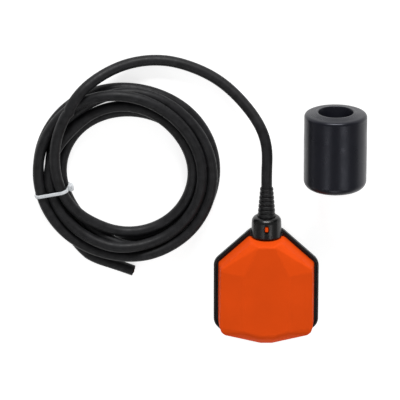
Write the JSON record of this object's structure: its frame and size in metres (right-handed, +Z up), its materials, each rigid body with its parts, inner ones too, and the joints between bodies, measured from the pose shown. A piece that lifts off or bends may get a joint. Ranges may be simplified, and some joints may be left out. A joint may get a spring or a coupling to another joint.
{
  "type": "cable float switch",
  "caption": "Tethered float switch lying on its back: faceted float body, cable boot and collar, cable in a tied flat coil with a cut end, and a loose counterweight.",
  "frame": {"origin": "centre of the float's flat back panel, on the surface that everything lies on", "axes": "+Z up out of the front shell, +Y from the float towards its cable exit, +X to the counterweight"},
  "size_m": [0.252, 0.2246, 0.0474],
  "materials": {
    "orange_plastic": "satin moulded polypropylene",
    "black_plastic": "satin moulded polypropylene",
    "boot_rubber": "moulded rubber",
    "seal_rubber": "matt rubber",
    "cable_rubber": "extruded rubber, slightly talced",
    "chassis_plastic": "natural nylon",
    "cage_plastic": "grey acetal",
    "ball_steel": "polished",
    "screw_steel": "zinc plated",
    "lever_plastic": "moulded acetal",
    "switch_case": "moulded thermoset",
    "switch_button": "moulded thermoset",
    "contact_brass": "bright",
    "copper": "drawn copper",
    "brown_insulation": "extruded",
    "blue_insulation": "extruded",
    "black_insulation": "extruded",
    "core_insulation": "extruded core insulation",
    "tie_nylon": "translucent nylon",
    "weight_skin": "satin moulded skin",
    "weight_iron": "as cast"
  },
  "bodies": {
    "cable": {"cord_bend": "cable_rubber", "cord_lead": "cable_rubber", "cord_coil": "cable_rubber", "cord_tail": "cable_rubber", "tail_cores": "core_insulation", "tail_copper": "copper", "cord_tie": "tie_nylon"},
    "float": {"front_shell": "orange_plastic", "rear_shell": "black_plastic", "rim_seal": "seal_rubber", "collar_cap": "black_plastic", "cable_boot": "boot_rubber", "gland_seal": "seal_rubber", "gland_washer": "cage_plastic", "switch_chassis": "chassis_plastic", "chassis_screws": "screw_steel", "cable_clamp": "chassis_plastic", "clamp_screws": "screw_steel", "ball_cage": "cage_plastic", "lever_pin": "screw_steel", "microswitch_case": "switch_case", "microswitch_cover": "switch_case", "microswitch_screws": "screw_steel", "terminal_common": "contact_brass", "terminal_open": "contact_brass", "terminal_closed": "contact_brass", "wire_brown": "brown_insulation", "wire_blue": "blue_insulation", "wire_black": "black_insulation", "cord_inner": "cable_rubber"},
    "ball": {"steel_ball": "ball_steel"},
    "lever": {"rocker_lever": "lever_plastic"},
    "plunger": {"switch_plunger": "switch_button"},
    "blade": {"contact_blade": "copper"},
    "weight": {"weight_shell": "weight_skin", "weight_core": "weight_iron", "weight_base": "weight_skin"}
  },
  "joints": [
    {"name": "float_swing", "type": "hinge", "parent": "cable", "child": "float", "pos_m": [0, 0.0923, 0.021], "axis": [-1, 0, 0], "range_deg": [0, 45], "deforming": ["cord_bend"]},
    {"name": "ball_roll", "type": "slide", "parent": "float", "child": "ball", "axis": [0, 1, 0], "range_m": [0, 0.0068]},
    {"name": "lever_rock", "type": "hinge", "parent": "float", "child": "lever", "pos_m": [0, -0.006, 0.0345], "axis": [1, 0, 0], "range_deg": [0, 30]},
    {"name": "plunger_press", "type": "slide", "parent": "float", "child": "plunger", "axis": [0, 1, 0], "range_m": [0, 0.00156]},
    {"name": "blade_flex", "type": "hinge", "parent": "float", "child": "blade", "pos_m": [0, 0.0042, 0.0154], "axis": [-1, 0, 0], "range_deg": [0, 5.4]},
    {"name": "weight_slide", "type": "slide", "parent": "cable", "child": "weight", "axis": [0, 1, 0], "range_m": [0, 0.1]}
  ],
  "couplings": [
    {"joint": "lever_rock", "follows": "ball_roll", "rad_per_m": 76.99},
    {"joint": "plunger_press", "follows": "ball_roll", "ratio": 0.2279},
    {"joint": "blade_flex", "follows": "ball_roll", "rad_per_m": 13.68}
  ]
}
